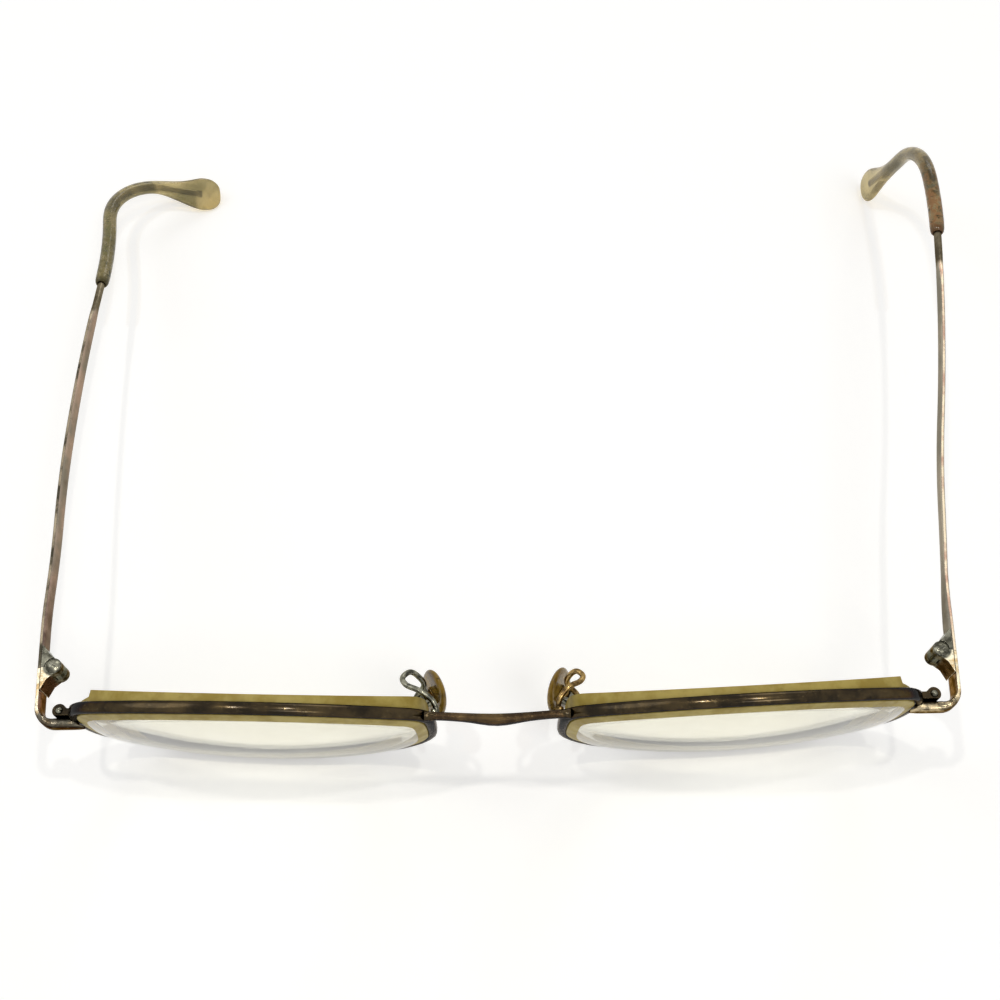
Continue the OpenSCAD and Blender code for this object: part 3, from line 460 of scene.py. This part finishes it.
def ground_glass():
    """The ground edge of a lens: a chalky olive with grime in its scratches."""
    s = Surface("lens_glass_ground")
    chalk = s.mix(s.span(s.noise(3.5, 5.0, 0.6), 0.36, 0.64), (0.33, 0.24, 0.045), (0.46, 0.36, 0.095))
    chalk = s.mix(s.span(s.noise(0.7, 4.0, 0.7), 0.60, 0.72, 0.0, 0.35), chalk, (0.16, 0.13, 0.05))
    # Darker towards the bottom of the lens edge
    low = s.span(s.split(s.place)[2], *LENS_LOW_DARK_FADE, 1.0, 0.0)
    chalk = s.mix(s.calc("MULTIPLY", low, 0.85), chalk, (0.15, 0.13, 0.055))
    lines = s.noise(0.25, 3.0, 0.6, s.scaled((0.2, 1.0, 0.2)))
    s.set(Base_Color=chalk, Roughness=s.span(s.noise(1.2), 0.3, 0.7, 0.38, 0.55), Transmission_Weight=0.1,
          IOR=1.5, Specular_IOR_Level=0.15)
    s.bump(lines, 0.02, 0.35)
    return s.material


def metals():
    """The worn metals: one for each metal slot, and those of the nodes that differ."""
    return {
        "bronze_wire": worn_metal("bronze_wire_worn", (0.016, 0.011, 0.005), (0.062, 0.042, 0.017),
                                  (0.40, 0.30, 0.15), (0.16, 0.12, 0.07),
                                  patch=5.0, grime=0.5, gloss=0.13, wear=0.55, coat=0.2),
        "nickel": worn_metal("nickel_tarnished", (0.055, 0.053, 0.038), (0.27, 0.262, 0.20),
                             (0.80, 0.77, 0.64), (0.5, 0.5, 0.42),
                             patch=1.5, grime=0.6, gloss=0.17, wear=0.7, coat=0.15),
        "bridge": worn_metal("bronze_bridge", (0.030, 0.017, 0.007), (0.105, 0.066, 0.026),
                             (0.36, 0.27, 0.14), (0.16, 0.11, 0.06),
                             patch=4.0, grime=0.5, gloss=0.20, wear=0.45, coat=0.2),
        "pad_insert": worn_metal("gilt_insert", (0.075, 0.042, 0.012), (0.36, 0.23, 0.07),
                                 (0.95, 0.80, 0.50), (0.5, 0.42, 0.3),
                                 patch=1.6, grime=0.5, gloss=0.2, wear=0.6, coat=0.1),
        "left_pad_arm": worn_metal("nickel_wire", (0.045, 0.045, 0.034), (0.30, 0.29, 0.22),
                                   (0.95, 0.90, 0.72), (0.5, 0.5, 0.42),
                                   patch=1.2, grime=0.6, gloss=0.15, wear=0.8, coat=0.2),
        "right_pad_arm": worn_metal("gilt_wire", (0.075, 0.042, 0.012), (0.42, 0.28, 0.10),
                                    (1.0, 0.90, 0.62), (0.5, 0.42, 0.3),
                                    patch=1.2, grime=0.5, gloss=0.15, wear=0.8, coat=0.2),
    }


def materials():
    """One finish for each slot, and a finish of its own for a node that has one."""
    made = metals()
    made["lens_glass"] = lens_glass()
    made["amber_pad"] = cast_plastic("amber_pad_aged", PAD_TONES, patch=3.5, clear=0.38, stain_share=0.58,
                                     shine=0.06)
    for side in SIDES:
        made[side + "_pad_insert"] = made["pad_insert"]
        made[side + "_arm_solder"] = made[side + "_pad_arm"]
        made[side + "_temple"] = bar_metal(side, **BAR_TONES[side])
        made[side + "_end_piece"] = made[side + "_front_leaf"] = end_gold(side, **END_TONES[side])
        made[side + "_ear_tip"] = cast_plastic("celluloid_" + side, TIP_TONES, patch=6.0, clear=0.72,
                                               stain_share=0.66, shine=0.10, bore=BORES[side],
                                               mouth=end_of(side + "_ear_tip", 1, -1)[0])
    return made


def dress_nodes(made):
    """Gives each CAD node the finish of its slot, and smooth normals."""
    for name, part in NODES.items():
        for slot in part.material_slots:
            slot.material = made.get(name) or made[slot.material.name.split(".")[0]]
        kind = name.split("_", 1)[-1]
        smooth(part, *SMOOTHING.get(kind, PLAIN_SMOOTHING))


def smooth(part, angle, levels):
    """Joins the split vertices of an imported mesh, then rounds it or keeps its sharp edges."""
    mesh = part.data
    custom = mesh.attributes.get("custom_normal")
    if custom:
        mesh.attributes.remove(custom)
    for face in mesh.polygons:
        face.use_smooth = True
    weld = part.modifiers.new("join", "WELD")
    weld.merge_threshold = WELD_REACH
    if levels:
        rounding = part.modifiers.new("round", "SUBSURF")
        rounding.levels = rounding.render_levels = levels
    else:
        split = part.modifiers.new("sharp", "EDGE_SPLIT")
        split.split_angle = math.radians(angle)


# Lens outline: long arcs joined by corner arcs, each a centre, a radius and two angles
def meeting(first, r1, second, r2, way):
    """The point where two circles meet on the given side."""
    gap = second - first
    along = (r1 * r1 - r2 * r2 + gap.length_squared) / (2 * gap.length)
    off = math.sqrt(r1 * r1 - along * along)
    u = gap.normalized()
    ends = [first + along * u + k * off * Vector((-u.y, u.x)) for k in (1, -1)]
    return max(ends, key=lambda p: p.dot(way))


def corner_arc(a, b, radius, way):
    (c1, r1), (c2, r2) = ((Vector(c), r) for c, r in (a, b))
    middle = meeting(c1, r1 - radius, c2, r2 - radius, Vector(way))
    start, end = (math.atan2(*reversed(middle - c)) for c in (c1, c2))
    return middle, radius, start, end + (math.tau if end < start else 0.0)


def lens_arcs():
    sides = (OUTER_ARC, TOP_ARC, INNER_ARC, BOTTOM_ARC)
    ways = ((1, 1), (-1, 1), (-1, -1), (1, -1))
    corners = [corner_arc(sides[i], sides[(i + 1) % 4], CORNERS[i], ways[i]) for i in range(4)]
    arcs = []
    for i, corner in enumerate(corners):
        centre, radius = sides[(i + 1) % 4]
        start, end = corner[3], corners[(i + 1) % 4][2]
        while end < start:
            end += math.tau
        while end - start > math.pi:
            start += math.tau
        arcs += [corner, (Vector(centre), radius, min(start, end), max(start, end))]
    return arcs


def outline(grow, step=1.0):
    points = []
    for centre, radius, start, end in lens_arcs():
        count = max(2, math.ceil(radius * (end - start) / step))
        for i in range(count):
            angle = start + (end - start) * i / count
            points.append(centre + (radius + grow) * Vector((math.cos(angle), math.sin(angle))))
    return points


# Depths of a lens in its own frame: its front face, its back face and the middle of its rim
def front_y(x, z):
    return FRONT_RADIUS - math.sqrt((FRONT_RADIUS + LEDGE) ** 2 - x * x - z * z)


def back_y(x, z):
    middle = CENTRE_THICKNESS - LEDGE + BACK_RADIUS
    return middle - math.sqrt(BACK_RADIUS ** 2 - x * x - z * z)


def rim_y(x, z):
    return FRONT_RADIUS - math.sqrt(FRONT_RADIUS ** 2 - x * x - z * z)


def lens_rings():
    """Closed rings from the middle of the front, round the edge, to the middle of the back."""
    edge = outline(-EDGE_INSET)
    inner = outline(-EDGE_INSET - CHAMFER_WIDTH)
    shrink = [k / SHRINK_STEPS for k in range(1, SHRINK_STEPS)]
    front = [[(p.x * k, front_y(p.x * k, p.y * k), p.y * k) for p in inner] for k in shrink]
    front.append([(p.x, front_y(*p), p.y) for p in inner])
    side = [[(p.x, front_y(*p) + CHAMFER_DEPTH, p.y) for p in edge],
            [(p.x, rim_y(*p) - RIDGE, p.y) for p in edge],
            [(p.x, rim_y(*p), p.y) for p in outline(0.0)],
            [(p.x, rim_y(*p) + RIDGE, p.y) for p in edge],
            [(p.x, back_y(*p), p.y) for p in edge]]
    back = [[(p.x * k, back_y(p.x * k, p.y * k), p.y * k) for p in edge]
            for k in reversed([*shrink, BACK_LAST_RING])]
    return front, side, back


def lens_mesh(name):
    """The lens body before its relief, polished faces as material 0 and ground ones as 1."""
    front, side, back = lens_rings()
    rings = front + side + back
    count = len(rings[0])
    points = [p for ring in rings for p in ring] + [(0, front_y(0, 0), 0), (0, back_y(0, 0), 0)]
    faces, finish = [], []
    for j in range(len(rings) - 1):
        for i in range(count):
            k = (i + 1) % count
            faces.append((j * count + i, j * count + k, (j + 1) * count + k, (j + 1) * count + i))
            finish.append(1 if len(front) - 1 <= j < len(front) + len(side) - 1 else 0)
    last = (len(rings) - 1) * count
    for i in range(count):
        k = (i + 1) % count
        faces += [(len(points) - 2, k, i), (len(points) - 1, last + i, last + k)]
        finish += [0, 0]
    return mesh_from(name, points, faces, finish)


def relief_mesh(name):
    """What is ground off the back of the lens at the temple side."""
    edge = EYE / 2 - EDGE_INSET
    rim_back = rim_y(EYE / 2, 0) + RIM_HALF
    plan = [(edge, rim_back), (EYE, rim_back), (EYE, RELIEF_REACH), (edge - 1.5 * RELIEF, RELIEF_REACH),
            (edge - RELIEF, rim_back + RELIEF / 5)]
    points = [(x, y, z) for z in (-LENS_HEIGHT, LENS_HEIGHT) for x, y in plan]
    n = len(plan)
    faces = [tuple(reversed(range(n))), tuple(range(n, 2 * n))]
    faces += [(i, (i + 1) % n, n + (i + 1) % n, n + i) for i in range(n)]
    return mesh_from(name, points, faces, [1] * len(faces))


def mesh_from(name, points, faces, finish):
    """A mesh with its faces turned outwards, finish being each face's material."""
    mesh = bpy.data.meshes.new(name)
    mesh.from_pydata(points, [], faces)
    mesh.polygons.foreach_set("material_index", finish)
    tool = bmesh.new()
    tool.from_mesh(mesh)
    bmesh.ops.recalc_face_normals(tool, faces=tool.faces)
    tool.to_mesh(mesh)
    tool.free()
    return mesh


def put(name, mesh):
    """Adds a mesh to the scene as an object."""
    made = bpy.data.objects.new(name, mesh)
    bpy.context.scene.collection.objects.link(made)
    return made


def make_lens(side, polished, ground):
    """A smooth lens in the place of its CAD node."""
    body = put(side + "_lens_glass", lens_mesh(side + "_lens_glass"))
    cutter = put("cutter", relief_mesh("cutter"))
    for thing in (body, cutter):
        thing.data.materials.append(polished)
        thing.data.materials.append(ground)
    cut = body.modifiers.new("relief", "BOOLEAN")
    cut.object = cutter
    cut.solver = "EXACT"
    made = bpy.data.meshes.new_from_object(body.evaluated_get(bpy.context.evaluated_depsgraph_get()))
    bpy.data.objects.remove(cutter)
    body.modifiers.clear()
    body.data = made
    turn = Matrix.Rotation(LENS_WRAP, 4, "Z") @ Matrix.Rotation(LENS_TILT, 4, "X")
    mirror = Matrix.Diagonal((SIDES[side], 1, 1, 1))
    made.transform(mirror @ turn @ Matrix.Scale(MM, 4))
    if SIDES[side] < 0:
        made.flip_normals()
    low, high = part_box(side + "_lens")
    mine = [[f(v.co[i] for v in made.vertices) for i in range(3)] for f in (min, max)]
    made.transform(Matrix.Translation((low + high) / 2 - (Vector(mine[0]) + Vector(mine[1])) / 2))
    for face in made.polygons:
        face.use_smooth = True
    split = body.modifiers.new("sharp", "EDGE_SPLIT")
    split.split_angle = LENS_EDGE_ANGLE
    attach(body, BODY)
    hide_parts(side + "_lens")


# Solder, a collar that hugs the larger piece and thins along the smaller one
def collar_reach(t, angle):
    """How far a collar stands out at a share t of its length, with a few waves of set metal."""
    flare = 1.0 + SOLDER_FLARE * (1.0 - t) ** 3
    fade = 1.0 if t < SOLDER_FADE else 1.0 - 0.35 * ((t - SOLDER_FADE) / (1.0 - SOLDER_FADE)) ** 2
    return flare * fade * (1.0 + 0.05 * math.sin(3 * angle + 4 * t) + 0.03 * math.sin(5 * angle - 7 * t))


def make_solder(name, root, along, half_width, half_height, length, slot, material):
    """A closed collar that starts at its root and runs its length along the smaller piece."""
    along = along.normalized()
    up = (UP - UP.dot(along) * along).normalized()
    across = along.cross(up)
    n = SOLDER_TURNS
    points = []
    for j in range(SOLDER_LAYERS + 1):
        t = j / SOLDER_LAYERS
        for i in range(n):
            angle = math.tau * i / n
            reach = collar_reach(t, angle)
            points.append(root + along * (t * length) + across * (half_width * reach * math.cos(angle))
                          + up * (half_height * reach * math.sin(angle)))
    faces = [(j * n + i, j * n + (i + 1) % n, (j + 1) * n + (i + 1) % n, (j + 1) * n + i)
             for j in range(SOLDER_LAYERS) for i in range(n)]
    faces += [tuple(reversed(range(n))), tuple(range(SOLDER_LAYERS * n, (SOLDER_LAYERS + 1) * n))]
    collar = put(name, mesh_from(name, points, faces, [0] * len(faces)))
    collar.data.materials.append(material)
    for face in collar.data.polygons:
        face.use_smooth = True
    rounding = collar.modifiers.new("round", "SUBSURF")
    rounding.levels = rounding.render_levels = 1
    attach(collar, BODY)


def make_solders(made):
    """Collars of solder where the bridge and the pad arms meet the rims."""
    for side, way in SIDES.items():
        root, half = end_of("bridge", 0, way, BRIDGE_END)
        make_solder(side + "_bridge_solder", root + Vector((way * BRIDGE_SHIFT, 0, 0)), Vector((-way, 0, 0)),
                    half.y + SOLDER_FILM, half.z + SOLDER_FILM, BRIDGE_COLLAR, "bronze_wire",
                    made["bronze_wire"])
        root = end_of(side + "_pad_arm", 1, -1, ARM_END)[0] + Vector((way * ARM_SHIFT[0], ARM_SHIFT[1], 0))
        make_solder(side + "_arm_solder", root, ARM_WAY, *ARM_HALVES, ARM_COLLAR, "nickel",
                    made[side + "_arm_solder"])


def seen_plain(tree):
    """1 for the rays of the camera, of metal and of glass, and 0 for the rays that light the part."""
    path = tree.nodes.new("ShaderNodeLightPath")
    seen = path.outputs["Is Camera Ray"]
    for kind in ("Is Glossy Ray", "Is Transmission Ray"):
        either = tree.nodes.new("ShaderNodeMath")
        either.operation = "MAXIMUM"
        links(tree, (seen, either.inputs[0]), (path.outputs[kind], either.inputs[1]))
        seen = either.outputs[0]
    return seen


def make_world():
    """Soft light from all round, which looks plain white."""
    world = bpy.data.worlds.new("studio")
    bpy.context.scene.world = world
    world.use_nodes = True
    tree = world.node_tree
    lit = tree.nodes["Background"]
    plain = tree.nodes.new("ShaderNodeBackground")
    mixer = tree.nodes.new("ShaderNodeMixShader")
    for background, strength in ((lit, WORLD_LIGHT), (plain, 1.0)):
        background.inputs["Color"].default_value = WHITE
        background.inputs["Strength"].default_value = strength
    links(tree, (seen_plain(tree), mixer.inputs[0]), (lit.outputs[0], mixer.inputs[1]),
          (plain.outputs[0], mixer.inputs[2]),
          (mixer.outputs[0], tree.nodes["World Output"].inputs["Surface"]))


def floor_paper():
    """Matt paper with a glow that only the camera, metal and glass see, so it keeps the shadow."""
    material = bpy.data.materials.new("floor_paper")
    material.use_nodes = True
    tree = material.node_tree
    shader = tree.nodes["Principled BSDF"]
    glow = tree.nodes.new("ShaderNodeMath")
    glow.operation = "MULTIPLY"
    glow.inputs[1].default_value = FLOOR_GLOW
    links(tree, (seen_plain(tree), glow.inputs[0]), (glow.outputs[0], shader.inputs["Emission Strength"]))
    for key, value in (("Base Color", FLOOR_COLOUR), ("Roughness", 0.9), ("Specular IOR Level", 0.1),
                       ("Emission Color", WHITE)):
        shader.inputs[key].default_value = value
    return material


def make_floor():
    mesh = bpy.data.meshes.new("studio_floor")
    h = FLOOR_SIZE / 2
    mesh.from_pydata([(-h, -h, 0), (h, -h, 0), (h, h, 0), (-h, h, 0)], [], [(0, 1, 2, 3)])
    mesh.materials.append(floor_paper())
    floor = put("studio_floor", mesh)
    floor.location = (0.0, 0.0, -FLOOR_DROP)


def make_lamps():
    for name, (place, size, power, colour) in LAMPS.items():
        data = bpy.data.lights.new(name, "AREA")
        data.shape = "DISK"
        data.size = size
        data.energy = power
        data.color = colour
        lamp = bpy.data.objects.new(name, data)
        lamp.location = place
        lamp.rotation_euler = (AIM - Vector(place)).to_track_quat("-Z", "Y").to_euler()
        bpy.context.scene.collection.objects.link(lamp)


def make_camera():
    data = bpy.data.cameras.new("camera")
    data.lens = CAMERA_LENS
    data.sensor_width = CAMERA_SENSOR
    data.clip_start = CAMERA_NEAR
    camera = bpy.data.objects.new("camera", data)
    back = CAMERA_RIGHT.cross(CAMERA_UP)
    turn = Matrix((CAMERA_RIGHT, CAMERA_UP, back)).transposed()
    camera.matrix_world = Matrix.Translation(CAMERA_PLACE) @ turn.to_4x4()
    bpy.context.scene.collection.objects.link(camera)
    bpy.context.scene.camera = camera


MATERIALS = materials()
GROUND = ground_glass()
make_camera()
make_world()
make_floor()
make_lamps()
dress_nodes(MATERIALS)
for side in SIDES:
    make_lens(side, MATERIALS["lens_glass"], GROUND)
make_solders(MATERIALS)
bpy.context.scene.view_settings.view_transform = "Standard"
